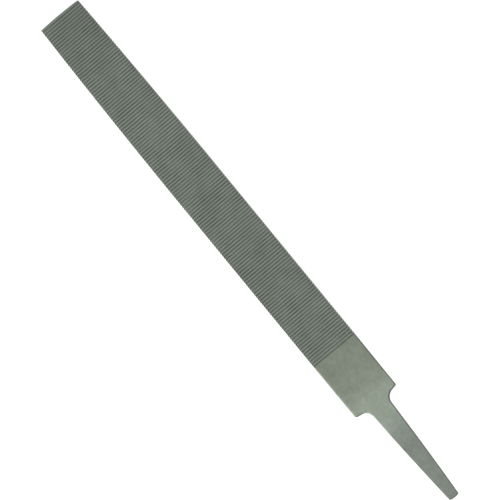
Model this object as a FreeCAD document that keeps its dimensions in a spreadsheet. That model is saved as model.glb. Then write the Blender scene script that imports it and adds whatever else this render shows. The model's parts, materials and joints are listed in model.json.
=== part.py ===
import FreeCAD, Part

import math
import os

import Sketcher
from FreeCAD import Vector

# A bare engineer's flat file: one bar of hardened steel that carries a toothed blade, an uncut
# heel, two shoulders and a tapering tang for a handle. X runs along the file with the tip at +X
# and the tang at -X, Y runs across it, and the sketches have their origin on the centre line, at
# the shoulders and halfway through the thickness. The finished body lies flat on Z = 0.

# Driving dimensions, in millimetres unless the name says degrees.
DIMENSIONS = {
    # blade, from the shoulders to the tip
    "blade_length": 250,
    "blade_thickness": 6,
    "crest_width": 26.5,
    "heel_width": 26.1,
    "shoulder_width": 25.8,
    # the edges and the faces curve in over these last stretches, by this much a side at the tip
    "edge_taper_length": 108,
    "edge_drop": 1.2,
    "face_taper_length": 150,
    "face_drop": 0.9,
    "tip_crown": 0.35,
    "tip_corner_radius": 0.3,
    "tip_bevel_length": 0.8,
    "tip_bevel_depth": 0.3,
    # shoulders and tang
    "shoulder_slant_degrees": 9,
    "shoulder_fillet": 5.2,
    "tang_length": 62,
    "tang_root_width": 11.4,
    "tang_end_width": 5.3,
    "tang_side_radius": 1600,
    "tang_end_thickness": 3.8,
    "tang_end_crown": 0.35,
    "tang_corner_radius": 0.45,
    "thinning_start": 6,
    "thinning_radius": 600,
    "broken_edge": 0.25,
    # single-cut teeth, straight across: the cutting faces look towards the tip
    "face_tooth_start": 32.45,
    "edge_tooth_start": 32.57,
    "tooth_pitch": 1.5726,
    "tooth_count": 138,
    "tooth_land": 0.08,
    "cutting_rake_degrees": 12,
    "face_tooth_depth": 0.48,
    "edge_tooth_depth": 0.3,
    "gullet_radius": 0.1,
    # stock left round the bar for the profile cuts, and how far a gullet cutter stands proud
    "rough_stock": 2,
    "overcut": 0.02,
}

# Formulas that several features share.
HALF_CREST = "Dimensions.crest_width / 2"
HALF_THICKNESS = "Dimensions.blade_thickness / 2"
EDGE_TAPER_START = "(Dimensions.blade_length - Dimensions.edge_taper_length)"
FACE_TAPER_START = "(Dimensions.blade_length - Dimensions.face_taper_length)"
FAR_TIP = "Dimensions.blade_length + 2 * Dimensions.rough_stock"
FAR_TANG = "-Dimensions.tang_length - 2 * Dimensions.rough_stock"
TIP_HALF_WIDTH = f"({HALF_CREST} - Dimensions.edge_drop)"
TANG_END_HALF_WIDTH = "(Dimensions.tang_end_width / 2)"

# A square corner's rounding passes this far from both of its sides, over the rounding's radius.
CORNER_CUT = 1 - math.sqrt(0.5)
# Faces that meet at over 60 degrees make a sharp edge; those near the middle plane are upright.
SHARP_COSINE = 0.5
MIDDLE_BAND = 0.1

START, END, CENTRE = 1, 2, 3
ORIGIN = (-1, 1)
X_AXIS, Y_AXIS = -1, -2


def arc_radius(chord, rise):
    """Formula of the arc that leaves its tangent by RISE after CHORD."""
    return f"(({chord}) ^ 2 + ({rise}) ^ 2) / (2 * ({rise}))"


EDGE_RADIUS = arc_radius("Dimensions.edge_taper_length", "Dimensions.edge_drop")
FACE_RADIUS = arc_radius("Dimensions.face_taper_length", "Dimensions.face_drop")


def make_sheet(document):
    """Writes the driving dimensions into a spreadsheet, one named cell each."""
    sheet = document.addObject("Spreadsheet::Sheet", "Dimensions")
    for row, (name, value) in enumerate(DIMENSIONS.items(), start=1):
        sheet.set(f"A{row}", name)
        sheet.set(f"B{row}", str(value))
        sheet.setAlias(f"B{row}", name)
    document.recompute()


def number(owner, formula):
    """Works a formula out, in millimetres or degrees."""
    return float(owner.evalExpression(formula))


def origin_plane(body, role):
    """Finds one of the body's own origin planes."""
    return next(plane for plane in body.Origin.OriginFeatures if plane.Role == role)


def new_sketch(body, name, role):
    """Starts a sketch on one of the body's origin planes."""
    sketch = body.newObject("Sketcher::SketchObject", name)
    sketch.AttachmentSupport = [(origin_plane(body, role), "")]
    sketch.MapMode = "FlatFace"
    return sketch


def line(sketch, first, last):
    """Adds a straight line between two (x, y) points and returns its number."""
    return sketch.addGeometry(Part.LineSegment(Vector(*first, 0), Vector(*last, 0)))


def arc(sketch, first, middle, last):
    """Adds an arc that runs anticlockwise through three (x, y) points and returns its number."""
    curve = Part.Arc(Vector(*first, 0), Vector(*middle, 0), Vector(*last, 0))
    return sketch.addGeometry(curve)


def relate(sketch, kind, *where):
    """Adds a geometric constraint, such as Tangent or Horizontal."""
    sketch.addConstraint(Sketcher.Constraint(kind, *where))


def join(sketch, kind, *pieces):
    """Joins each piece's end to the next one's start, by Coincident or Tangent."""
    for piece, following in zip(pieces, pieces[1:]):
        relate(sketch, kind, piece, END, following, START)


def dimension(sketch, kind, name, formula, *where):
    """Adds a dimension that follows a formula of the spreadsheet's cells."""
    value = number(sketch, formula)
    if kind == "Angle":
        value = math.radians(value)
    index = sketch.addConstraint(Sketcher.Constraint(kind, *where, value))
    sketch.renameConstraint(index, name)
    sketch.setExpression("Constraints." + name, formula)


def place(sketch, name, point, across=None, up=None):
    """Dimensions a point of a sketch from the origin: ACROSS along its X, UP along its Y."""
    if across is not None:
        dimension(sketch, "DistanceX", name + "_across", across, *ORIGIN, *point)
    if up is not None:
        dimension(sketch, "DistanceY", name + "_up", up, *ORIGIN, *point)


def guide_point(sketch, name, curve, across, up):
    """Makes a line or an arc's circle pass through a point that is given by two formulas."""
    spot = Vector(number(sketch, across), number(sketch, up), 0)
    point = sketch.addGeometry(Part.Point(spot), True)
    if number(sketch, across) == 0:
        relate(sketch, "PointOnObject", point, START, Y_AXIS)
        across = None
    place(sketch, name, (point, START), across, up)
    relate(sketch, "PointOnObject", point, START, curve)


def frame_corner(sketch, first, last, height):
    """Closes a half-outline from its far end LAST back to FIRST, outside the rough bar."""
    near, far = number(sketch, FAR_TIP), number(sketch, FAR_TANG)
    top = number(sketch, height)
    down = line(sketch, (far, 0), (far, top))
    over = line(sketch, (far, top), (near, top))
    back = line(sketch, (near, top), (near, 0))
    join(sketch, "Coincident", last, down, over, back, first)
    relate(sketch, "Vertical", down)
    relate(sketch, "Horizontal", over)
    relate(sketch, "Vertical", back)
    place(sketch, "far_corner", (over, START), FAR_TANG, height)
    place(sketch, "near_corner", (over, END), FAR_TIP)


def make_rough_bar(body):
    """The bar of steel before it is shaped, a little larger all round."""
    bar = body.newObject("PartDesign::AdditiveBox", "RoughBar")
    stock = "Dimensions.rough_stock"
    bar.setExpression("Length", f"Dimensions.blade_length + Dimensions.tang_length + 2 * {stock}")
    bar.setExpression("Width", f"Dimensions.crest_width + 2 * {stock}")
    bar.setExpression("Height", f"Dimensions.blade_thickness + 2 * {stock}")
    bar.setExpression("Placement.Base.x", f"-Dimensions.tang_length - {stock}")
    bar.setExpression("Placement.Base.y", f"-{HALF_CREST} - {stock}")
    bar.setExpression("Placement.Base.z", f"-{HALF_THICKNESS} - {stock}")
    body.Document.recompute()
    return bar


def sketch_plan(body, sheet):
    """Everything outside one edge of the file, seen from above, from its tip to its tang's end."""
    sketch = new_sketch(body, "PlanOutside", "XY_Plane")
    tip = sheet.blade_length
    half_crest = sheet.crest_width / 2
    tip_half = half_crest - sheet.edge_drop
    tip_radius = sheet.tip_corner_radius
    tip_corner = tip - sheet.tip_crown
    taper_start = tip - sheet.edge_taper_length
    step = sheet.edge_tooth_start + sheet.tooth_pitch / 4
    heel_half = sheet.heel_width / 2
    shoulder_half = sheet.shoulder_width / 2
    fillet = sheet.shoulder_fillet
    root_half = sheet.tang_root_width / 2
    end_half = sheet.tang_end_width / 2
    end_radius = sheet.tang_corner_radius
    tang_end = -sheet.tang_length
    tang_corner = tang_end + sheet.tang_end_crown

    # first guesses of every curve, anticlockwise, which the constraints below then settle
    lead_in = line(sketch, (tip + sheet.rough_stock, 0), (tip, 0))
    crown = arc(
        sketch,
        (tip, 0),
        (tip - sheet.tip_crown / 4, tip_half / 2),
        (tip_corner, tip_half - tip_radius),
    )
    corner = arc(
        sketch,
        (tip_corner, tip_half - tip_radius),
        (tip_corner - CORNER_CUT * tip_radius, tip_half - CORNER_CUT * tip_radius),
        (tip_corner - tip_radius, tip_half),
    )
    taper = arc(
        sketch,
        (tip_corner - tip_radius, tip_half),
        (tip - sheet.edge_taper_length / 2, half_crest - sheet.edge_drop / 4),
        (taper_start, half_crest),
    )
    straight = line(sketch, (taper_start, half_crest), (step, half_crest))
    drop = line(sketch, (step, half_crest), (step, heel_half))
    heel = line(sketch, (step, heel_half), (0, shoulder_half))
    shoulder = line(sketch, (-fillet / 5, root_half + fillet), (0, shoulder_half))
    hollow = arc(
        sketch,
        (-fillet, root_half),
        (-fillet / 2, root_half + fillet / 4),
        (-fillet / 5, root_half + fillet),
    )
    side = arc(
        sketch,
        (-fillet, root_half),
        (tang_end / 2, (root_half + end_half) / 2 + sheet.tang_end_crown),
        (tang_corner + end_radius, end_half),
    )
    end_corner = arc(
        sketch,
        (tang_corner + end_radius, end_half),
        (tang_corner + CORNER_CUT * end_radius, end_half - CORNER_CUT * end_radius),
        (tang_corner, end_half - end_radius),
    )
    end_crown = arc(
        sketch,
        (tang_corner, end_half - end_radius),
        (tang_end + sheet.tang_end_crown / 4, end_half / 2),
        (tang_end, 0),
    )
    lead_out = line(sketch, (tang_end, 0), (tang_end - sheet.rough_stock, 0))
    frame_corner(sketch, lead_in, lead_out, f"{HALF_CREST} + 2 * Dimensions.rough_stock")

    join(sketch, "Coincident", lead_in, crown)
    join(sketch, "Tangent", crown, corner, taper, straight)
    join(sketch, "Coincident", straight, drop, heel)
    relate(sketch, "Coincident", heel, END, shoulder, END)
    relate(sketch, "Tangent", shoulder, START, hollow, END)
    relate(sketch, "Tangent", hollow, START, side, START)
    join(sketch, "Tangent", side, end_corner, end_crown)
    join(sketch, "Coincident", end_crown, lead_out)

    for level in (lead_in, straight, lead_out):
        relate(sketch, "Horizontal", level)
    relate(sketch, "Vertical", drop)
    for on_centre_line in ((crown, START), (crown, CENTRE), (end_crown, CENTRE), (end_crown, END)):
        relate(sketch, "PointOnObject", *on_centre_line, X_AXIS)

    place(sketch, "tip", (crown, START), "Dimensions.blade_length")
    place(sketch, "taper_start", (straight, START), EDGE_TAPER_START, HALF_CREST)
    place(
        sketch,
        "heel_end",
        (heel, START),
        "Dimensions.edge_tooth_start + Dimensions.tooth_pitch / 4",
        "Dimensions.heel_width / 2",
    )
    relate(sketch, "PointOnObject", heel, END, Y_AXIS)
    place(sketch, "shoulder", (heel, END), up="Dimensions.shoulder_width / 2")
    place(sketch, "tang_end", (end_crown, END), "-Dimensions.tang_length")
    guide_point(sketch, "tang_root", side, "0", "Dimensions.tang_root_width / 2")
    guide_point(sketch, "tang_corner", side, "-Dimensions.tang_length", TANG_END_HALF_WIDTH)
    slant = "(90 - Dimensions.shoulder_slant_degrees) * 1 deg"
    dimension(sketch, "Angle", "shoulder_slant", slant, shoulder)
    for name, formula, curve in (
        ("crown_radius", arc_radius(TIP_HALF_WIDTH, "Dimensions.tip_crown"), crown),
        ("corner_radius", "Dimensions.tip_corner_radius", corner),
        ("taper_radius", EDGE_RADIUS, taper),
        ("hollow_radius", "Dimensions.shoulder_fillet", hollow),
        ("side_radius", "Dimensions.tang_side_radius", side),
        ("end_corner_radius", "Dimensions.tang_corner_radius", end_corner),
        ("end_radius", arc_radius(TANG_END_HALF_WIDTH, "Dimensions.tang_end_crown"), end_crown),
    ):
        dimension(sketch, "Radius", name, formula, curve)
    return sketch


def sketch_side(body, sheet):
    """Everything above the file, seen from its edge: the tip's taper, the flat and the tang."""
    sketch = new_sketch(body, "SideOutside", "XZ_Plane")
    half = sheet.blade_thickness / 2
    tip = sheet.blade_length
    taper_start = tip - sheet.face_taper_length
    near, far = number(sketch, FAR_TIP), number(sketch, FAR_TANG)
    tip_half = half - sheet.face_drop
    bevel_start = tip - sheet.tip_bevel_length
    bevel_bottom = tip_half - sheet.tip_bevel_depth
    end_half = sheet.tang_end_thickness / 2
    slope_start = -2 * sheet.thinning_start
    taper_middle = ((taper_start + tip) / 2, half - sheet.face_drop / 4)

    nose = line(sketch, (near, bevel_bottom), (tip, bevel_bottom))
    bevel = line(sketch, (tip, bevel_bottom), (bevel_start, tip_half))
    taper = arc(sketch, (bevel_start, tip_half), taper_middle, (taper_start, half))
    flat = line(sketch, (taper_start, half), (sheet.thinning_start, half))
    thinning = arc(
        sketch,
        (sheet.thinning_start, half),
        (0, half - sheet.thinning_start ** 2 / (2 * sheet.thinning_radius)),
        (slope_start, half - (sheet.thinning_start - slope_start) ** 2 / (2 * sheet.thinning_radius)),
    )
    slope = line(sketch, (slope_start, half), (far, end_half))
    frame_corner(sketch, nose, slope, f"{HALF_THICKNESS} + 2 * Dimensions.rough_stock")

    join(sketch, "Coincident", nose, bevel, taper)
    join(sketch, "Tangent", taper, flat, thinning, slope)
    relate(sketch, "Horizontal", nose)
    relate(sketch, "Horizontal", flat)
    bevel_bottom = f"{HALF_THICKNESS} - Dimensions.face_drop - Dimensions.tip_bevel_depth"
    place(sketch, "tip", (bevel, START), "Dimensions.blade_length", bevel_bottom)
    place(sketch, "bevel", (bevel, END), "Dimensions.blade_length - Dimensions.tip_bevel_length")
    place(sketch, "taper_start", (flat, START), FACE_TAPER_START, HALF_THICKNESS)
    place(sketch, "thinning_start", (flat, END), "Dimensions.thinning_start")
    tang_end = "-Dimensions.tang_length"
    guide_point(sketch, "tang_end", slope, tang_end, "Dimensions.tang_end_thickness / 2")
    dimension(sketch, "Radius", "taper_radius", FACE_RADIUS, taper)
    dimension(sketch, "Radius", "thinning_radius", "Dimensions.thinning_radius", thinning)
    return sketch


def check_cut(body, feature):
    """Makes the feature the body's tip, and makes sure that it has taken metal away."""
    before = body.Shape.Volume
    body.Tip = feature
    body.Document.recompute()
    removed = before - feature.Shape.Volume
    if not feature.Shape.isValid() or removed <= 0:
        raise RuntimeError(f"{feature.Label} cuts nothing or leaves a broken solid")
    print(f"{feature.Label}: {removed:.1f} mm3 removed")


def cut_through(body, sketch, name):
    """Cuts a sketch right through the body, both ways from its plane."""
    pocket = body.newObject("PartDesign::Pocket", name)
    pocket.Profile = sketch
    pocket.Type = "Length"
    pocket.SideType = "Symmetric"
    pocket.setExpression("Length", "2 * Dimensions.crest_width")
    pocket.Refine = False
    sketch.Visibility = False
    return pocket


def mirror(body, role, name):
    """A mirror in one of the body's origin planes."""
    copy = body.newObject("PartDesign::Mirrored", name)
    copy.MirrorPlane = (origin_plane(body, role), [""])
    return copy


def cut_both_sides(body, sketch, name, mirror_role):
    """Cuts a half-outline and its mirror image out of the bar."""
    pocket = cut_through(body, sketch, name)
    check_cut(body, pocket)
    both = mirror(body, mirror_role, name + "Mirrored")
    both.Originals = [pocket]
    both.Refine = True
    check_cut(body, both)


def sketch_gullet(body, name, role, crest, depth, start, centre=None):
    """One tooth gap: a steep cutting face, a rounded root and the long back of the next tooth.

    CREST is the formula of the crests' height over the sketch's origin, which lies at CENTRE, and
    START that of the place of the cutting face's edge.
    """
    sketch = new_sketch(body, name, role)
    if centre:
        sketch.setExpression("AttachmentOffset.Base.x", centre[0])
        sketch.setExpression("AttachmentOffset.Base.y", centre[1])
    finish = f"{start} + Dimensions.tooth_pitch - Dimensions.tooth_land"
    root_level = f"{crest} - {depth} + Dimensions.gullet_radius"
    first, last = number(sketch, start), number(sketch, finish)
    top = number(sketch, crest)
    bottom = top - number(sketch, depth)
    radius = number(sketch, "Dimensions.gullet_radius")
    root = first + 2 * radius
    root_start = (root - radius, bottom + radius)
    root_end = (root + radius, bottom + radius)

    cutting_face = line(sketch, (first, top), root_start)
    root_arc = arc(sketch, root_start, (root, bottom), root_end)
    back = line(sketch, root_end, (last, top))
    lid = line(sketch, (last, top), (first, top))
    join(sketch, "Tangent", cutting_face, root_arc, back)
    join(sketch, "Coincident", back, lid, cutting_face)
    relate(sketch, "Horizontal", lid)
    place(sketch, "lid", (lid, START), up=f"{crest} + Dimensions.overcut")
    place(sketch, "root", (root_arc, CENTRE), up=root_level)
    dimension(sketch, "Radius", "root_radius", "Dimensions.gullet_radius", root_arc)
    rake = "(Dimensions.cutting_rake_degrees - 90) * 1 deg"
    dimension(sketch, "Angle", "cutting_rake", rake, cutting_face)
    guide_point(sketch, "cutting_edge", cutting_face, start, crest)
    guide_point(sketch, "next_crest", back, finish, crest)
    return sketch


def repeat(body, gullet, pattern, mirror_role, count):
    """Repeats a gullet along the file and on the opposite side, at one tooth pitch."""
    pattern.Reversed = pattern.TypeId == "PartDesign::PolarPattern"
    pattern.Mode = "Spacing"
    pattern.setExpression("Occurrences", count)
    opposite = mirror(body, mirror_role, gullet.Name + "Opposite")
    every = body.newObject("PartDesign::MultiTransform", gullet.Name + "Row")
    every.Originals = [gullet]
    every.Transformations = [pattern, opposite]
    every.Refine = False
    check_cut(body, every)


def cut_teeth(body, name, role, mirror_role, half, depth, first, taper_start, radius):
    """Cuts the teeth into two opposite sides: a straight row, then one round the taper's arc."""
    straight_count = f"(floor(({taper_start} - {first}) / Dimensions.tooth_pitch) + 1)"
    sketch = sketch_gullet(body, name + "Profile", role, half, depth, first)
    gullet = cut_through(body, sketch, name)
    check_cut(body, gullet)
    straight = body.newObject("PartDesign::LinearPattern", name + "Pattern")
    straight.Direction = (sketch, ["H_Axis"])
    straight.setExpression("Offset", "Dimensions.tooth_pitch")
    repeat(body, gullet, straight, mirror_role, straight_count)

    start = f"{first} + {straight_count} * Dimensions.tooth_pitch - {taper_start}"
    centre = (taper_start, f"{half} - {radius}")
    sketch = sketch_gullet(body, name + "TaperProfile", role, radius, depth, start, centre)
    gullet = cut_through(body, sketch, name + "Taper")
    check_cut(body, gullet)
    curved = body.newObject("PartDesign::PolarPattern", name + "TaperPattern")
    curved.Axis = (sketch, ["N_Axis"])
    curved.setExpression("Offset", f"Dimensions.tooth_pitch / ({radius}) * 1 rad")
    repeat(body, gullet, curved, mirror_role, f"Dimensions.tooth_count - {straight_count}")


def arrises(body, nearest, farthest):
    """Names the sharp edges round the upper and lower faces between two places along the file."""
    shape = body.Tip.Shape
    names = []
    for index, edge in enumerate(shape.Edges, start=1):
        middle = edge.valueAt((edge.FirstParameter + edge.LastParameter) / 2)
        if not nearest < middle.x < farthest or abs(middle.z) < MIDDLE_BAND:
            continue
        first, second = (
            face.normalAt(*face.Surface.parameter(middle))
            for face in shape.ancestorsOfType(edge, Part.Face)
        )
        if abs(first.dot(second)) < SHARP_COSINE:
            names.append(f"Edge{index}")
    return names


def break_edges(body, nearest, farthest):
    """Rounds the sharp edges of one stretch of the file."""
    edges = arrises(body, nearest, farthest)
    base = body.Tip
    rounding = body.newObject("PartDesign::Fillet", "BrokenEdges")
    rounding.Base = (base, edges)
    rounding.setExpression("Radius", "Dimensions.broken_edge")
    check_cut(body, rounding)


def make_file(document, sheet):
    """The whole file, in one solid: it is forged, ground and cut from one bar."""
    body = document.addObject("PartDesign::Body", "FileBladeAndTang")
    body.Label = "file_blade_and_tang"
    make_rough_bar(body)
    cut_both_sides(body, sketch_plan(body, sheet), "PlanCut", "XZ_Plane")
    cut_both_sides(body, sketch_side(body, sheet), "SideCut", "XY_Plane")
    break_edges(body, -sheet.tang_length, sheet.edge_tooth_start)
    cut_teeth(
        body,
        "EdgeGullet",
        "XY_Plane",
        "XZ_Plane",
        HALF_CREST,
        "Dimensions.edge_tooth_depth",
        "Dimensions.edge_tooth_start",
        EDGE_TAPER_START,
        EDGE_RADIUS,
    )
    cut_teeth(
        body,
        "FaceGullet",
        "XZ_Plane",
        "XY_Plane",
        HALF_THICKNESS,
        "Dimensions.face_tooth_depth",
        "Dimensions.face_tooth_start",
        FACE_TAPER_START,
        FACE_RADIUS,
    )
    body.setExpression("Placement.Base.x", "(Dimensions.tang_length - Dimensions.blade_length) / 2")
    body.setExpression("Placement.Base.z", HALF_THICKNESS)
    document.recompute()
    return body


def check(document, parts):
    """Stops when anything in the document has failed or a part's shape is not sound."""
    for item in document.Objects:
        if "Invalid" in item.State or "Error" in item.State:
            raise RuntimeError(f"{item.Label} has failed: {item.State}")
    for part in parts:
        shape = part.Shape
        if shape.isNull() or not shape.isValid() or len(shape.Solids) != 1:
            raise RuntimeError(f"{part.Label} is not one sound solid")


def main():
    document = FreeCAD.newDocument("FlatFile")
    make_sheet(document)
    sheet = document.getObject("Dimensions")
    parts = [make_file(document, sheet)]
    check(document, parts)
    os.makedirs("parts", exist_ok=True)
    for part in parts:
        part.Shape.exportStep(f"parts/{part.Label}.step")
        box = part.Shape.optimalBoundingBox()
        print(f"{part.Label}: {box.XLength:.2f} x {box.YLength:.2f} x {box.ZLength:.2f} mm")


main()
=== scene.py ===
"""A bare flat file in ground and chisel-cut steel, modelled over its CAD frame."""

import json
import math

import bmesh
import bpy
from mathutils import Matrix, Vector, noise


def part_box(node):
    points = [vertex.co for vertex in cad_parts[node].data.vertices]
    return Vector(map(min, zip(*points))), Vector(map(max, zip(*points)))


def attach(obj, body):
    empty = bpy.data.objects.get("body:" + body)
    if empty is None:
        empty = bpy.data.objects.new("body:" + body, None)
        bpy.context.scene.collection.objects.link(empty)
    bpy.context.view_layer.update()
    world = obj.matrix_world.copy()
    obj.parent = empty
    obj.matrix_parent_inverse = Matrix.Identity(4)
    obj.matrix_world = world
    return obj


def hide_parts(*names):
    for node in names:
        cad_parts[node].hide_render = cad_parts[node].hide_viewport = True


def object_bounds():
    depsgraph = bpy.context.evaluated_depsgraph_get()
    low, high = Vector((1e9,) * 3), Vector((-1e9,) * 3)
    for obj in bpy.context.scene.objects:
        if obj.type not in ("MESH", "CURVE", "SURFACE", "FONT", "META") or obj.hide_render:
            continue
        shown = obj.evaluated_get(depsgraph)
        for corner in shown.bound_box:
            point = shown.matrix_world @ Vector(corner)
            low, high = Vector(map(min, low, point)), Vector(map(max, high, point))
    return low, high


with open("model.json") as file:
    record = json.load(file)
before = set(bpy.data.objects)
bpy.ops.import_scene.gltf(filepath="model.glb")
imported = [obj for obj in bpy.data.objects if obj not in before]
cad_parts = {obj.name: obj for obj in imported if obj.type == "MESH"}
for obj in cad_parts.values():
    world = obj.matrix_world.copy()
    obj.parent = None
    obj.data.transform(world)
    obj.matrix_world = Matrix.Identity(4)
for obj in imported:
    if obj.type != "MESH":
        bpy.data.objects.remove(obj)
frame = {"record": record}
cad_low, cad_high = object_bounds()

# The file's own lengths are in millimetres, with X counted from the shoulders towards the tip and
# Z from halfway through the thickness. shape_file turns them into the frame's metres.
NODE = "file_blade_and_tang"
MM = 0.001
mounts = {mount["name"]: mount for mount in frame["record"]["mounts"]}
shoulders = Vector(mounts["tang"]["pos_m"])
node_low, node_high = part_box(NODE)

BLADE_LENGTH = (node_high.x - shoulders.x) / MM
TANG_LENGTH = (shoulders.x - node_low.x) / MM
HALF_CREST = (node_high.y - node_low.y) / 2 / MM
HALF_THICKNESS = (node_high.z - node_low.z) / 2 / MM

# the blade
HEEL_HALF_WIDTH = 13.05
SHOULDER_HALF_WIDTH = 12.9
EDGE_TAPER_LENGTH = 108
EDGE_DROP = 1.2
FACE_TAPER_LENGTH = 150
FACE_DROP = 0.9
TIP_CROWN = 0.35
TIP_CORNER = 0.3
TIP_BEVEL_LENGTH = 0.8
TIP_BEVEL_DEPTH = 0.3

# the shoulders and the tang
SHOULDER_SLANT = math.radians(9)
SHOULDER_CORNER = 0.5
HOLLOW = 5.2
TANG_ROOT_HALF_WIDTH = 5.7
TANG_END_HALF_WIDTH = 2.65
TANG_SIDE_RADIUS = 1600
TANG_END_CROWN = 0.35
TANG_CORNER = 0.45
TANG_END_HALF_THICKNESS = 1.9
THINNING_START = 6
THINNING_RADIUS = 600

# how far the long edges are broken on the heel and tang, and on the toothed stretch
BROKEN_EDGE = 0.25
CUT_ARRIS = 0.03

# the teeth, straight across, with their cutting faces towards the tip
TOOTH_START = 32.45
TOOTH_PITCH = 1.5726
TOOTH_COUNT = 138
TOOTH_LAND = 0.08
FACE_TOOTH_DEPTH = 0.48
EDGE_TOOTH_DEPTH = 0.3
EDGE_TOOTH_LAG = 0.12
# a gullet, from the cutting edge to the next crest, as (share of the pitch, share of the depth)
GULLET = ((0, 0), (0.045, 0.62), (0.085, 0.95), (0.135, 1), (0.30, 0.80), (0.50, 0.52), (0.72, 0.24))
NEARLY_CREST = (0.88, 0.06)
CREST_BACK = 1 - TOOTH_LAND / TOOTH_PITCH
# a row of points on a tooth's cutting edge belongs to that tooth, in spite of rounding
SLACK = 1e-6

# How uneven the chisel left the teeth. Each unevenness is a noise, and has the noise's steps for
# a millimetre across the file, from one tooth to the next and from one face to the other.
TOOTH_WANDER = 0.045
WANDER_NOISE = (0.16, 5.3, 120)
DEPTH_SPREAD = 0.16
DEPTH_NOISE = (0.21, 0.37, 40)
CREST_WEAR = 0.03
WEAR_NOISE = (0.9, 1.7, 80)

# a small dent beside the tang's edge, and how many of its radii it spreads over
DENT_X = -28
DENT_Y = 3.9
DENT_RADIUS = 0.42
DENT_DEPTH = 0.16
DENT_REACH = 3

# how finely the surface is divided
ROW_STEP = 1
DENT_ROW_STEP = 0.16
TOP_COLUMNS = 11
ROUNDING_STEPS = 3
SIDE_STEPS = 4
CORNER_STEPS = 5
HOLLOW_STEPS = 12
SHOULDER_STEPS = 8
TANG_CROWN_STEPS = 6
TIP_CROWN_STEPS = 14
# how near two points are when they are one, and the bend that makes an edge sharp
WELD = 0.0005
SHARP_ANGLE = math.radians(28)

# base colours of the ground steel, by distance from the shoulders
GROUND_COLOURS = (
    (-62, (0.275, 0.308, 0.27)),
    (-45, (0.295, 0.332, 0.29)),
    (-27, (0.287, 0.32, 0.28)),
    (-19, (0.315, 0.358, 0.31)),
    (-10, (0.435, 0.507, 0.423)),
    (3, (0.445, 0.513, 0.425)),
    (10, (0.37, 0.422, 0.342)),
    (16, (0.355, 0.402, 0.323)),
    (TOOTH_START, (0.322, 0.365, 0.294)),
)
# base colours of the cut steel on the faces and the edges, from a crest to the bottom of a gullet;
# their darkening towards the bottom is painted shade
CUT_COLOURS_WITH_GULLET_SHADE = (
    (0, (0.333, 0.374, 0.325)),
    (0.35, (0.303, 0.34, 0.295)),
    (1, (0.116, 0.134, 0.115)),
)
# the edges' colours, darker all over than the faces': painted shade along the walls, as well as in
# the gullets
EDGE_COLOURS_WITH_PAINTED_SHADE = (
    (0, (0.21, 0.235, 0.205)),
    (0.35, (0.13, 0.147, 0.128)),
    (1, (0.03, 0.035, 0.03)),
)
# the sides' colours, nearly black: partly the forging's dark skin, partly painted shade along the
# walls
SIDE_COLOURS_WITH_PAINTED_SHADE = ((0, (0.028, 0.032, 0.028)), (1, (0.07, 0.078, 0.068)))
BOARD_COLOURS = ((0, (0.86, 0.86, 0.86)), (1, (0.89, 0.89, 0.89)))
# specular level of the surfaces that shine little
DULL_STEEL_SHINE = 0.1
BOARD_SHINE = 0.2

# fineness of each texture, in waves to the millimetre along X, Y and Z, and its levels of detail
BAND_DRIFT = ((0.08, 0.08, 0.08), 3)
BLOTCHES = ((0.11, 0.16, 0.16), 4)
MOTTLE = ((0.45, 0.6, 0.6), 3)
BELT_MARKS = ((0.12, 7, 7), 2)
GROUND_SPECKLE = ((3, 3, 3), 3)
FORGING_SCALE = ((0.5, 0.5, 0.9), 4)
PITS = ((2.2, 2.2, 2.2), 3)
GULLET_SHADE_PATCHES = ((0.14, 0.12, 0.12), 4)
CHISEL_MARKS = ((5, 0.35, 2), 3)
PATCHES = ((0.05, 0.09, 0.09), 4)
CUT_SPECKLE = ((2.5, 1.2, 2.5), 3)
# those of the board, in waves to the metre
BOARD_TOOTH = ((900, 900, 900), 4)
BOARD_CLOUDS = ((6, 6, 6), 2)
# how rough each texture is, and the middle of its range from 0 to 1, where nearly all of it lies
GRAIN_ROUGHNESS = 0.55
GRAIN_MIDDLE = (0.3, 0.7)

# how much each texture changes the steel's brightness either way, as a share of it
BLOTCH_SHADE = 0.035
BELT_SHADE = 0.02
MOTTLE_SHADE = 0.075
CHISEL_SHADE = 0.08
PATCH_SHADE = 0.06
CUT_SPECKLE_SHADE = 0.07
# how far the borders between the ground steel's bands of colour stray along the file
BAND_STRAY = 3
# painted shade: the colour's brightness at the bottom of the dent
DENT_PAINTED_SHADE = 0.35
# how much deeper or shallower a gullet's painted shade looks, from patch to patch, as a factor on
# its depth share
GULLET_SHADE_PATCH_RANGE = (0.74, 1.06)
# the cut steel darkens to this at the tip, over this stretch of X
TIP_SHADE = 0.88
TIP_SHADE_START = 205
TIP_SHADE_END = 240

# roughness of each steel and of the board, and what the textures add to it
HEEL_ROUGHNESS = 0.36
TANG_ROUGHNESS = 0.46
# share of the tang, counted from the shoulders, over which it turns duller
DULLING = 0.3
BLOTCH_ROUGHNESS = (-0.02, 0.03)
GROUND_SPECKLE_ROUGHNESS = (-0.03, 0.03)
FORGED_ROUGHNESS = (0.5, 0.7)
CREST_ROUGHNESS = 0.36
GULLET_ROUGHNESS = 0.52
CUT_SPECKLE_ROUGHNESS = (-0.05, 0.05)
BOARD_ROUGHNESS = (0.75, 0.9)

# the height of each material's relief, and each texture's share in it
GROUND_RELIEF = 0.006
BELT_RELIEF = 0.7
GROUND_SPECKLE_RELIEF = 0.5
FORGED_RELIEF = 0.02
CUT_RELIEF = 0.012
CHISEL_RELIEF = 0.8
CUT_SPECKLE_RELIEF = 0.4
BOARD_RELIEF = 0.02

# From here on lengths are in metres. The floor lies a hair below the file and glows of itself.
FLOOR_SIZE = 20
FLOOR_GAP = 0.00002
FLOOR_GLOW = 0.62

# brightness of the tent, by the sine of the height in the sky
TENT = ((0, 1), (0.45, 1), (0.66, 0.55), (1, 0.5))
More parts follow.
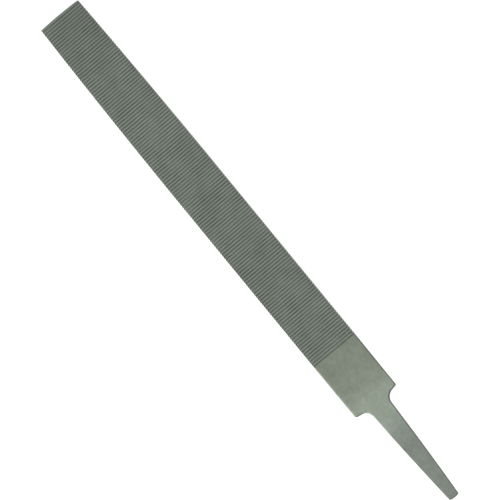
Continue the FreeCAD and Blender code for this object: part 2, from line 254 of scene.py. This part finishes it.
# The tent's wall on -Y is dimmer: its brightness, and the Y of a unit vector towards the places
# where it is all there and where it has gone.
FAR_WALL = 0.3
FAR_WALL_FULL = -0.7
FAR_WALL_GONE = 0.05

# two softboxes, one on each side of the file
BOX_SIZE = 2.2
BOX_POWER = 35
BOX_DISTANCE = 2.5
BOX_ELEVATION = math.radians(38)

# the camera, with the width that it takes in at AIM, and its sensor in millimetres
CAMERA_DISTANCE = 6
CAMERA_CLIPS = (0.1, 100)
FRAME_WIDTH = 0.2492
SENSOR = 36
CAMERA_LEAN_X = math.radians(5)
CAMERA_LEAN_Y = math.radians(5)
CAMERA_TURN = math.radians(-39.53)
AIM = Vector((0.00425, 0.00075, 0.003))


def arc_radius(chord, rise):
    """Radius of the arc that leaves its tangent by RISE after CHORD."""
    return (chord ** 2 + rise ** 2) / (2 * rise)


def arc_drop(distance, radius):
    """How far an arc has left its tangent after DISTANCE, and nothing before its start."""
    return radius - math.sqrt(radius ** 2 - max(distance, 0) ** 2)


def between(low, high, share):
    """The value at a share of the way from LOW to HIGH."""
    return low + (high - low) * share


def direction(angle):
    """Unit vector in the plan, ANGLE anticlockwise from +X."""
    return Vector((math.cos(angle), math.sin(angle)))


def angle_of(vector):
    """Angle of a vector in the plan, anticlockwise from +X."""
    return math.atan2(vector.y, vector.x)


def circles_meet(first, first_radius, second, second_radius):
    """The point on the left of the way from FIRST to SECOND where two circles meet."""
    way = second - first
    along = (first_radius ** 2 - second_radius ** 2 + way.length_squared) / (2 * way.length)
    across = math.sqrt(first_radius ** 2 - along ** 2)
    forward = way.normalized()
    return first + forward * along + Vector((-forward.y, forward.x)) * across


EDGE_RADIUS = arc_radius(EDGE_TAPER_LENGTH, EDGE_DROP)
FACE_RADIUS = arc_radius(FACE_TAPER_LENGTH, FACE_DROP)
TIP_HALF_WIDTH = HALF_CREST - EDGE_DROP
TIP_RADIUS = arc_radius(TIP_HALF_WIDTH, TIP_CROWN)
TANG_END_RADIUS = arc_radius(TANG_END_HALF_WIDTH, TANG_END_CROWN)

# the shoulder's line, which slants towards the tang, seen from above
SHOULDER_POINT = Vector((0, SHOULDER_HALF_WIDTH))
SHOULDER_INWARD = Vector((-math.sin(SHOULDER_SLANT), -math.cos(SHOULDER_SLANT)))
SHOULDER_OUTWARD = Vector((-math.cos(SHOULDER_SLANT), math.sin(SHOULDER_SLANT)))


# ---- the outline, seen from above: places on one side of the file, each (point, normal, arris)


def along_arc(centre, radius, first, last, steps, arris, hollow=False):
    """Places along an arc from angle FIRST to LAST. A hollow's normals point at its centre."""
    places = []
    for step in range(1, steps + 1):
        outward = direction(between(first, last, step / steps))
        places.append((centre + outward * radius, -outward if hollow else outward, arris))
    return places


def along_line(first, last, steps, normal, arris):
    """Places along a straight line, without its first point."""
    return [(first.lerp(last, step / steps), normal, arris) for step in range(1, steps + 1)]


def tang_side_centre():
    """Centre of the slightly convex arc that is the tang's side."""
    root = Vector((0, TANG_ROOT_HALF_WIDTH))
    end = Vector((-TANG_LENGTH, TANG_END_HALF_WIDTH))
    half = (root - end) / 2
    rise = math.sqrt(TANG_SIDE_RADIUS ** 2 - half.length_squared)
    return end + half + Vector((half.y, -half.x)).normalized() * rise


def hollow_middle(side_centre):
    """Centre of the hollow that touches the tang's side and the shoulder's line."""
    beside = SHOULDER_POINT + SHOULDER_OUTWARD * HOLLOW
    reach = beside - side_centre
    fall = reach.dot(SHOULDER_INWARD)
    root = math.sqrt(fall ** 2 - reach.length_squared + (TANG_SIDE_RADIUS + HOLLOW) ** 2)
    return beside + SHOULDER_INWARD * min(run for run in (-fall - root, -fall + root) if run > 0)


def side_stations(start, stop):
    """Where the tang's rows lie: evenly spaced, and closer together at the dent."""
    dent_start = DENT_X - DENT_REACH * DENT_RADIUS
    dent_end = DENT_X + DENT_REACH * DENT_RADIUS
    stations = []
    for first, last, gap in (
        (start, dent_start, ROW_STEP),
        (dent_start, dent_end, DENT_ROW_STEP),
        (dent_end, stop, ROW_STEP),
    ):
        steps = math.ceil((last - first) / gap)
        stations += [between(first, last, step / steps) for step in range(1, steps + 1)]
    return stations


def tang_end_outline(side_centre):
    """From the middle of the tang's end round its corner to the start of its side."""
    end_centre = Vector((TANG_END_RADIUS - TANG_LENGTH, 0))
    corner_centre = circles_meet(
        side_centre,
        TANG_SIDE_RADIUS - TANG_CORNER,
        end_centre,
        TANG_END_RADIUS - TANG_CORNER,
    )
    corner_start = angle_of(corner_centre - end_centre)
    corner_end = angle_of(corner_centre - side_centre)
    end = direction(math.pi)
    places = [(end_centre + end * TANG_END_RADIUS, end, BROKEN_EDGE)]
    places += along_arc(
        end_centre, TANG_END_RADIUS, math.pi, corner_start, TANG_CROWN_STEPS, BROKEN_EDGE
    )
    places += along_arc(
        corner_centre, TANG_CORNER, corner_start, corner_end, CORNER_STEPS, BROKEN_EDGE
    )
    return places


def tang_outline():
    """From the middle of the tang's end to the end of the hollow under the shoulder."""
    side_centre = tang_side_centre()
    hollow_centre = hollow_middle(side_centre)
    places = tang_end_outline(side_centre)

    side_end = side_centre + direction(angle_of(hollow_centre - side_centre)) * TANG_SIDE_RADIUS
    for x in side_stations(places[-1][0].x, side_end.x):
        outer = direction(math.acos((x - side_centre.x) / TANG_SIDE_RADIUS))
        places.append((side_centre + outer * TANG_SIDE_RADIUS, outer, BROKEN_EDGE))
    hollow_start = angle_of(side_centre - hollow_centre)
    hollow_end = angle_of(-SHOULDER_OUTWARD)
    places += along_arc(
        hollow_centre, HOLLOW, hollow_start, hollow_end, HOLLOW_STEPS, BROKEN_EDGE, hollow=True
    )
    return places


def heel_outline(hollow_end):
    """Out along the shoulder from the end of its hollow, round its corner and along the heel."""
    heel_way = Vector((TOOTH_START, HEEL_HALF_WIDTH - SHOULDER_HALF_WIDTH)).normalized()
    heel_normal = Vector((-heel_way.y, heel_way.x))
    shoulder_angle = angle_of(SHOULDER_OUTWARD)
    heel_angle = angle_of(heel_normal)
    cut_back = SHOULDER_CORNER * math.tan((shoulder_angle - heel_angle) / 2)
    shoulder_end = SHOULDER_POINT + SHOULDER_INWARD * cut_back
    corner_centre = shoulder_end - SHOULDER_OUTWARD * SHOULDER_CORNER

    places = along_line(hollow_end, shoulder_end, SHOULDER_STEPS, SHOULDER_OUTWARD, BROKEN_EDGE)
    places += along_arc(
        corner_centre, SHOULDER_CORNER, shoulder_angle, heel_angle, CORNER_STEPS, BROKEN_EDGE
    )
    heel_end = Vector((TOOTH_START - 2 * CUT_ARRIS, HEEL_HALF_WIDTH))
    heel_steps = round(TOOTH_START / ROW_STEP)
    places += along_line(places[-1][0], heel_end, heel_steps, heel_normal, BROKEN_EDGE)
    return places


def blade_outline():
    """From the first tooth to the middle of the tip. The teeth themselves are cut in later."""
    corner_start = BLADE_LENGTH - TIP_CROWN - TIP_CORNER
    sideways = Vector((0, 1))
    places = []
    shares = [share for share, _ in GULLET] + [NEARLY_CREST[0], CREST_BACK]
    for tooth in range(TOOTH_COUNT):
        for share in shares:
            x = TOOTH_START + (tooth + share) * TOOTH_PITCH
            if x < corner_start:
                y = HALF_CREST - arc_drop(x - BLADE_LENGTH + EDGE_TAPER_LENGTH, EDGE_RADIUS)
                places.append((Vector((x, y)), sideways, CUT_ARRIS))
    crown_centre = Vector((BLADE_LENGTH - TIP_RADIUS, 0))
    corner_centre = Vector((corner_start, TIP_HALF_WIDTH - TIP_CORNER))
    crown_start = angle_of(corner_centre - crown_centre)
    places += along_arc(
        corner_centre, TIP_CORNER, math.pi / 2, crown_start, CORNER_STEPS, CUT_ARRIS
    )
    places += along_arc(crown_centre, TIP_RADIUS, crown_start, 0, TIP_CROWN_STEPS, CUT_ARRIS)
    return places


def outline():
    """Every place from the middle of the tang's end to the middle of the tip."""
    tang = tang_outline()
    return tang + heel_outline(tang[-1][0]) + blade_outline()


# ---- the surface over that outline


def thinning_drop(x):
    """How far the tang's faces lie below the blade's: an arc, and then a straight slope."""
    way = THINNING_START - x
    if way <= 0:
        return 0
    far = Vector((-TANG_LENGTH - THINNING_START, TANG_END_HALF_THICKNESS - HALF_THICKNESS))
    to_far = far + Vector((0, THINNING_RADIUS))
    turn = math.atan2(-to_far.x, to_far.y) - math.acos(THINNING_RADIUS / to_far.length)
    arc_end = THINNING_RADIUS * math.sin(turn)
    if way <= arc_end:
        return arc_drop(way, THINNING_RADIUS)
    return arc_drop(arc_end, THINNING_RADIUS) + (way - arc_end) * math.tan(turn)


def gullet(x):
    """(depth as a share of the full depth, tooth number) of the faces' row of teeth at X."""
    tooth, share = divmod((x - TOOTH_START) / TOOTH_PITCH + SLACK, 1)
    if x < TOOTH_START or tooth >= TOOTH_COUNT:
        return 0, 0
    points = (*GULLET, NEARLY_CREST, (CREST_BACK, 0), (1, 0))
    for (first, first_depth), (last, last_depth) in zip(points, points[1:]):
        if share <= last:
            return between(first_depth, last_depth, (share - first) / (last - first)), tooth
    return 0, tooth


def tooth_noise(y, tooth, side, steps):
    """Smooth noise across a tooth, from about -1 to 1, that differs between teeth and faces."""
    across, onward, over = steps
    return noise.noise(Vector((across * y, onward * tooth, over * side)))


def half_thickness(x):
    """Height of the uncut faces over the middle plane."""
    taper = arc_drop(x - BLADE_LENGTH + FACE_TAPER_LENGTH, FACE_RADIUS)
    return HALF_THICKNESS - taper - thinning_drop(x)


def dent(x, y):
    """Share of the dent's depth at a place on the tang."""
    away = ((x - DENT_X) ** 2 + (y - DENT_Y) ** 2) / DENT_RADIUS ** 2
    return math.exp(-away)


def face_height(x, y, side):
    """(height over the middle plane, share of a gullet's or the dent's full depth) of a face.

    SIDE is 1 for the upper face and -1 for the lower.
    """
    share, tooth = gullet(x)
    depth = FACE_TOOTH_DEPTH * share * (1 + DEPTH_SPREAD * tooth_noise(y, tooth, side, DEPTH_NOISE))
    if TOOTH_START < x < BLADE_LENGTH - TIP_BEVEL_LENGTH:
        wear = max(tooth_noise(y, tooth, side, WEAR_NOISE), 0)
        depth += CREST_WEAR * wear * (1 - share)
    bevel = max(0, (x - BLADE_LENGTH + TIP_BEVEL_LENGTH) / TIP_BEVEL_LENGTH)
    depth = max(depth, TIP_BEVEL_DEPTH * bevel)
    dented = dent(x, y) if side == 1 else 0
    return half_thickness(x) - depth - DENT_DEPTH * dented, max(share, dented)


def wander(x, y, side):
    """How far along the file a tooth's cut has strayed here. The last two teeth are straight."""
    if not TOOTH_START < x < BLADE_LENGTH - 2 * TOOTH_PITCH:
        return 0
    tooth = (x - TOOTH_START) // TOOTH_PITCH
    fade = 1 - abs(y) / HALF_CREST
    return TOOTH_WANDER * fade * tooth_noise(y, tooth, side, WANDER_NOISE)


def face_row(inner, side):
    """Points across a face between its two arrises, from -Y to +Y, each (point, depth share)."""
    row = []
    for column in range(-TOP_COLUMNS, TOP_COLUMNS + 1):
        y = inner.y * column / TOP_COLUMNS
        height, share = face_height(inner.x, y, side)
        x = inner.x + wander(inner.x, y, side)
        row.append((Vector((x, y, side * height)), share))
    return row


def edge_row(point, normal, arris, hand, upper, lower, share):
    """Points down an edge from the upper face to the lower. HAND is 1 on +Y and -1 on -Y."""
    corners = []
    for side, height in ((1, upper), (-1, lower)):
        corner = []
        for step in range(1, ROUNDING_STEPS + 1):
            turn = math.pi / 2 * step / ROUNDING_STEPS
            inset = point - normal * arris * (1 - math.sin(turn))
            z = side * (height - arris * (1 - math.cos(turn)))
            corner.append((Vector((inset.x, hand * inset.y, z)), share))
        corners.append(corner)
    top, bottom = corners[0], corners[1][::-1]
    middle = [
        (top[-1][0].lerp(bottom[0][0], step / SIDE_STEPS), share) for step in range(1, SIDE_STEPS)
    ]
    return top + middle + bottom


def ring(point, normal, arris):
    """One closed loop of points round the file, each (point, depth share)."""
    share, _ = gullet(point.x - EDGE_TOOTH_LAG)
    notch = EDGE_TOOTH_DEPTH * share * min(1, point.y / TIP_HALF_WIDTH)
    point = Vector((point.x, point.y - notch))
    # the edges' teeth start a little after the faces', and up to there the heel's width goes on
    if TOOTH_START - CUT_ARRIS < point.x < TOOTH_START + EDGE_TOOTH_LAG:
        point.y = HEEL_HALF_WIDTH
    inner = point - normal * arris
    inner.y = max(inner.y, 0)
    upper = face_row(inner, 1)
    lower = face_row(inner, -1)
    right = edge_row(point, normal, arris, 1, upper[-1][0].z, -lower[-1][0].z, share)
    left = edge_row(point, normal, arris, -1, upper[0][0].z, -lower[0][0].z, share)
    return upper + right + lower[::-1] + left[::-1]


def shape_file():
    """The whole file as one closed mesh, with each point's share of a gullet's depth."""
    rings = [ring(*place) for place in outline()]
    count = len(rings[0])
    half = count // 2
    points = [point for loop in rings for point, _ in loop]
    shares = [share for loop in rings for _, share in loop]
    faces = []
    materials = []
    for row in range(len(rings) - 1):
        toothed = points[row * count].x > TOOTH_START - CUT_ARRIS
        for column in range(count):
            following = (column + 1) % count
            here, ahead = row * count, (row + 1) * count
            faces.append((here + column, ahead + column, ahead + following, here + following))
            # half a ring is a face and then an edge, whose outermost slices still pass for the face
            on_side = 2 * TOP_COLUMNS < column % half < half - 1
            materials.append(2 * on_side + toothed)
    mesh = bpy.data.meshes.new("flat_file")
    to_metres = Matrix.Translation((shoulders.x, 0, shoulders.z)) @ Matrix.Scale(MM, 4)
    mesh.from_pydata([to_metres @ point for point in points], [], faces)
    cut_depth = mesh.attributes.new("cut_depth", "FLOAT", "POINT")
    cut_depth.data.foreach_set("value", shares)
    mesh.polygons.foreach_set("material_index", materials)
    return mesh


def close_ends(mesh):
    """Welds the loops that have closed up at the tip and the tang's end."""
    work = bmesh.new()
    work.from_mesh(mesh)
    bmesh.ops.remove_doubles(work, verts=work.verts, dist=WELD * MM)
    bmesh.ops.dissolve_degenerate(work, edges=work.edges, dist=WELD * MM)
    bmesh.ops.recalc_face_normals(work, faces=work.faces)
    work.to_mesh(mesh)
    work.free()


def make_file():
    """The file itself, whose materials are in the order that shape_file counts on."""
    mesh = shape_file()
    close_ends(mesh)
    mesh.shade_smooth()
    mesh.set_sharp_from_angle(angle=SHARP_ANGLE)
    faces_cut = cut_steel("cut_steel", CUT_COLOURS_WITH_GULLET_SHADE, 1)
    # the toothed edges' material, darkened as painted shade
    shaded_edges_cut = cut_steel("edge_steel_with_painted_shade", EDGE_COLOURS_WITH_PAINTED_SHADE, 0)
    for material in (ground_steel(), faces_cut, side_steel_with_painted_shade(), shaded_edges_cut):
        mesh.materials.append(material)
    flat_file = bpy.data.objects.new("flat_file", mesh)
    bpy.context.scene.collection.objects.link(flat_file)
    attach(flat_file, "root")
    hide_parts(NODE)


# ---- shader nodes


def add(tree, kind, inputs=None, **settings):
    """Adds a shader node. An input that is given a socket is linked to it."""
    made = tree.nodes.new(kind)
    for name, value in settings.items():
        setattr(made, name, value)
    for name, value in (inputs or {}).items():
        if isinstance(value, bpy.types.NodeSocket):
            tree.links.new(value, made.inputs[name])
        else:
            made.inputs[name].default_value = value
    return made


def new_material(name):
    """A material with nothing but its principled shader: (material, node tree, shader)."""
    material = bpy.data.materials.new(name)
    material.use_nodes = True
    tree = material.node_tree
    tree.nodes.clear()
    shader = add(tree, "ShaderNodeBsdfPrincipled")
    add(tree, "ShaderNodeOutputMaterial", {"Surface": shader.outputs["BSDF"]})
    return material, tree, shader


def place_in_mm(tree):
    """Where the surface is, in millimetres from the middle of the shoulders."""
    coordinates = add(tree, "ShaderNodeTexCoord")
    return add(
        tree,
        "ShaderNodeMapping",
        {
            "Vector": coordinates.outputs["Object"],
            "Location": -shoulders / MM,
            "Scale": Vector((1, 1, 1)) / MM,
        },
    ).outputs["Vector"]


def grain(tree, place, texture):
    """Noise from 0 to 1. TEXTURE is its fineness along X, Y and Z and its levels of detail."""
    fineness, detail = texture
    stretched = add(tree, "ShaderNodeMapping", {"Vector": place, "Scale": fineness})
    return add(
        tree,
        "ShaderNodeTexNoise",
        {
            "Vector": stretched.outputs["Vector"],
            "Scale": 1,
            "Detail": detail,
            "Roughness": GRAIN_ROUGHNESS,
        },
    ).outputs["Fac"]


def cut_depth_share(tree):
    """How deep in a gullet or in the dent the surface is, as a share of the full depth."""
    return add(tree, "ShaderNodeAttribute", attribute_name="cut_depth").outputs["Fac"]


def spread(tree, value, low, high, from_low, from_high):
    """Maps a value from one range to another."""
    return add(
        tree,
        "ShaderNodeMapRange",
        {
            "Value": value,
            "From Min": from_low,
            "From Max": from_high,
            "To Min": low,
            "To Max": high,
        },
    ).outputs["Result"]


def spread_grain(tree, texture, low, high):
    """Maps the middle of a noise's range, where nearly all of it lies, to another range."""
    return spread(tree, texture, low, high, *GRAIN_MIDDLE)


def shade_by(tree, texture, amount):
    """A brightness that a noise varies round 1, by AMOUNT either way."""
    return spread_grain(tree, texture, 1 - amount, 1 + amount)


def calculate(tree, operation, first, *others):
    """A sum or product of sockets and numbers, worked out from left to right."""
    result = first
    for other in others:
        made = add(tree, "ShaderNodeMath", operation=operation)
        for socket, value in zip(made.inputs, (result, other)):
            if isinstance(value, bpy.types.NodeSocket):
                tree.links.new(value, socket)
            else:
                socket.default_value = value
        result = made.outputs["Value"]
    return result


def ramp(tree, factor, stops):
    """Colour along a factor from 0 to 1, through (place, colour) stops."""
    made = add(tree, "ShaderNodeValToRGB", {"Fac": factor})
    elements = made.color_ramp.elements
    while len(elements) < len(stops):
        elements.new(1)
    for element, (position, colour) in zip(elements, stops):
        element.position = position
        element.color = (*colour, 1)
    return made.outputs["Color"]


def scaled(tree, colour, brightness):
    """A colour times a brightness."""
    made = add(tree, "ShaderNodeVectorMath", {"Scale": brightness}, operation="SCALE")
    tree.links.new(colour, made.inputs[0])
    return made.outputs["Vector"]


def relief(tree, shader, depth_in_mm, *layers):
    """Relief that is too fine for the mesh, from (noise, its share of the depth) layers."""
    heights = [calculate(tree, "MULTIPLY", texture, share) for texture, share in layers]
    height = calculate(tree, "ADD", *heights)
    bump = add(
        tree, "ShaderNodeBump", {"Height": height, "Strength": 1, "Distance": depth_in_mm * MM}
    )
    tree.links.new(bump.outputs["Normal"], shader.inputs["Normal"])


# ---- materials


def ground_colour(tree, place, along):
    """Bands of colour along the heel and the tang, with uneven borders."""
    stray = spread_grain(tree, grain(tree, place, BAND_DRIFT), -BAND_STRAY, BAND_STRAY)
    strayed = calculate(tree, "ADD", along, stray)
    total = TANG_LENGTH + TOOTH_START
    stops = [((x + TANG_LENGTH) / total, colour) for x, colour in GROUND_COLOURS]
    return ramp(tree, spread(tree, strayed, 0, 1, -TANG_LENGTH, TOOTH_START), stops)


def ground_steel():
    """The heel, shoulders and tang: belt-ground lengthwise, duller on the tang."""
    material, tree, shader = new_material("ground_steel")
    place = place_in_mm(tree)
    along = add(tree, "ShaderNodeSeparateXYZ", {"Vector": place}).outputs["X"]
    blotches = grain(tree, place, BLOTCHES)
    belt_marks = grain(tree, place, BELT_MARKS)
    speckle = grain(tree, place, GROUND_SPECKLE)

    shade = calculate(
        tree,
        "MULTIPLY",
        shade_by(tree, blotches, BLOTCH_SHADE),
        shade_by(tree, belt_marks, BELT_SHADE),
        shade_by(tree, grain(tree, place, MOTTLE), MOTTLE_SHADE),
        # darker towards the bottom of the dent: painted shade
        spread(tree, cut_depth_share(tree), 1, DENT_PAINTED_SHADE, 0, 1),
    )
    colour = scaled(tree, ground_colour(tree, place, along), shade)
    tree.links.new(colour, shader.inputs["Base Color"])

    uneven = calculate(
        tree,
        "ADD",
        spread_grain(tree, blotches, *BLOTCH_ROUGHNESS),
        spread_grain(tree, speckle, *GROUND_SPECKLE_ROUGHNESS),
    )
    duller = spread(tree, along, TANG_ROUGHNESS, HEEL_ROUGHNESS, -DULLING * TANG_LENGTH, 0)
    tree.links.new(calculate(tree, "ADD", duller, uneven), shader.inputs["Roughness"])
    shader.inputs["Metallic"].default_value = 1

    relief(
        tree, shader, GROUND_RELIEF, (belt_marks, BELT_RELIEF), (speckle, GROUND_SPECKLE_RELIEF)
    )
    return material


def side_steel_with_painted_shade():
    """The sides of the heel, shoulders and tang, coloured nearly black: partly the forging's dark
    skin, partly painted shade along the walls.
    """
    material, tree, shader = new_material("side_steel_with_painted_shade")
    place = place_in_mm(tree)
    scale = grain(tree, place, FORGING_SCALE)
    pits = grain(tree, place, PITS)
    colour = ramp(tree, spread_grain(tree, scale, 0, 1), SIDE_COLOURS_WITH_PAINTED_SHADE)
    tree.links.new(colour, shader.inputs["Base Color"])
    tree.links.new(spread_grain(tree, pits, *FORGED_ROUGHNESS), shader.inputs["Roughness"])
    shader.inputs["Metallic"].default_value = 0
    shader.inputs["Specular IOR Level"].default_value = DULL_STEEL_SHINE
    relief(tree, shader, FORGED_RELIEF, (scale, 1), (pits, 1))
    return material


def cut_steel(name, colours, metallic):
    """The toothed stretch: bright crests, and duller steel in the gullets, whose colour is darkened
    towards the bottom as painted shade.
    """
    material, tree, shader = new_material(name)
    place = place_in_mm(tree)
    along = add(tree, "ShaderNodeSeparateXYZ", {"Vector": place}).outputs["X"]
    depth = cut_depth_share(tree)
    chisel_marks = grain(tree, place, CHISEL_MARKS)
    speckle = grain(tree, place, CUT_SPECKLE)

    # patches where the gullets' painted shade reaches further down or less far
    patchy_gullet_shade = spread_grain(tree, grain(tree, place, GULLET_SHADE_PATCHES), *GULLET_SHADE_PATCH_RANGE)
    seen_depth = calculate(tree, "MULTIPLY", depth, patchy_gullet_shade)
    shade = calculate(
        tree,
        "MULTIPLY",
        shade_by(tree, chisel_marks, CHISEL_SHADE),
        shade_by(tree, grain(tree, place, PATCHES), PATCH_SHADE),
        shade_by(tree, speckle, CUT_SPECKLE_SHADE),
        spread(tree, along, 1, TIP_SHADE, TIP_SHADE_START, TIP_SHADE_END),
    )
    # the colour darkens towards the bottom of a gullet: painted shade
    colour = scaled(tree, ramp(tree, seen_depth, colours), shade)
    tree.links.new(colour, shader.inputs["Base Color"])

    duller = spread(tree, depth, CREST_ROUGHNESS, GULLET_ROUGHNESS, 0, 1)
    uneven = spread_grain(tree, speckle, *CUT_SPECKLE_ROUGHNESS)
    tree.links.new(calculate(tree, "ADD", duller, uneven), shader.inputs["Roughness"])
    shader.inputs["Metallic"].default_value = metallic
    shader.inputs["Specular IOR Level"].default_value = DULL_STEEL_SHINE

    relief(
        tree, shader, CUT_RELIEF, (chisel_marks, CHISEL_RELIEF), (speckle, CUT_SPECKLE_RELIEF)
    )
    return material


def pale_board():
    """Matt white board with a faint tooth."""
    material, tree, shader = new_material("pale_board")
    place = add(tree, "ShaderNodeTexCoord").outputs["Object"]
    fine = grain(tree, place, BOARD_TOOTH)
    clouds = grain(tree, place, BOARD_CLOUDS)
    tree.links.new(ramp(tree, clouds, BOARD_COLOURS), shader.inputs["Base Color"])
    tree.links.new(spread_grain(tree, fine, *BOARD_ROUGHNESS), shader.inputs["Roughness"])
    shader.inputs["Specular IOR Level"].default_value = BOARD_SHINE
    shader.inputs["Emission Color"].default_value = (1, 1, 1, 1)
    shader.inputs["Emission Strength"].default_value = FLOOR_GLOW
    relief(tree, shader, BOARD_RELIEF, (fine, 1))
    return material


# ---- floor, light and camera


def make_floor():
    """A square board under the file."""
    mesh = bpy.data.meshes.new("floor")
    half = FLOOR_SIZE / 2
    corners = [(-half, -half, 0), (half, -half, 0), (half, half, 0), (-half, half, 0)]
    mesh.from_pydata(corners, [], [(0, 1, 2, 3)])
    mesh.materials.append(pale_board())
    floor = bpy.data.objects.new("floor", mesh)
    floor.location.z = cad_low.z - FLOOR_GAP
    bpy.context.scene.collection.objects.link(floor)


def light_tent():
    """A white tent round the file, dimmer on -Y and overhead, which the flat steel reflects."""
    world = bpy.data.worlds.new("light_tent")
    world.use_nodes = True
    tree = world.node_tree
    tree.nodes.clear()
    way = add(tree, "ShaderNodeTexCoord").outputs["Generated"]
    axes = add(tree, "ShaderNodeSeparateXYZ", {"Vector": way})
    overhead = ramp(tree, axes.outputs["Z"], [(place, (level,) * 3) for place, level in TENT])
    aside = spread(tree, axes.outputs["Y"], FAR_WALL, 1, FAR_WALL_FULL, FAR_WALL_GONE)
    glow = add(tree, "ShaderNodeBackground", {"Color": overhead, "Strength": aside})
    add(tree, "ShaderNodeOutputWorld", {"Surface": glow.outputs["Background"]})
    bpy.context.scene.world = world


def softbox(name, azimuth):
    """A square area light that faces the file. Azimuth is anticlockwise from +X."""
    light = bpy.data.lights.new(name, "AREA")
    light.shape = "SQUARE"
    light.size = BOX_SIZE
    light.energy = BOX_POWER
    lamp = bpy.data.objects.new(name, light)
    level = direction(azimuth) * math.cos(BOX_ELEVATION)
    away = Vector((level.x, level.y, math.sin(BOX_ELEVATION)))
    lamp.location = away * BOX_DISTANCE
    lamp.rotation_euler = away.to_track_quat("Z", "Y").to_euler()
    lamp.visible_camera = False
    bpy.context.scene.collection.objects.link(lamp)


def make_camera():
    """A long lens almost straight above, leaning a little towards -X and -Y."""
    back = Vector((-math.tan(CAMERA_LEAN_X), -math.tan(CAMERA_LEAN_Y), 1)).normalized()
    upward = Vector((math.cos(CAMERA_TURN), math.sin(CAMERA_TURN), 0))
    right = (-back).cross(upward).normalized()
    rotation = Matrix((right, right.cross(-back), back)).transposed()
    lens = bpy.data.cameras.new("camera")
    lens.sensor_width = SENSOR
    lens.lens = SENSOR * CAMERA_DISTANCE / FRAME_WIDTH
    lens.clip_start, lens.clip_end = CAMERA_CLIPS
    camera = bpy.data.objects.new("camera", lens)
    camera.matrix_world = Matrix.Translation(AIM + back * CAMERA_DISTANCE) @ rotation.to_4x4()
    bpy.context.scene.collection.objects.link(camera)
    bpy.context.scene.camera = camera


make_file()
make_floor()
light_tent()
softbox("left_box", math.pi / 2)
softbox("right_box", -math.pi / 2)
make_camera()
bpy.context.scene.view_settings.view_transform = "Standard"
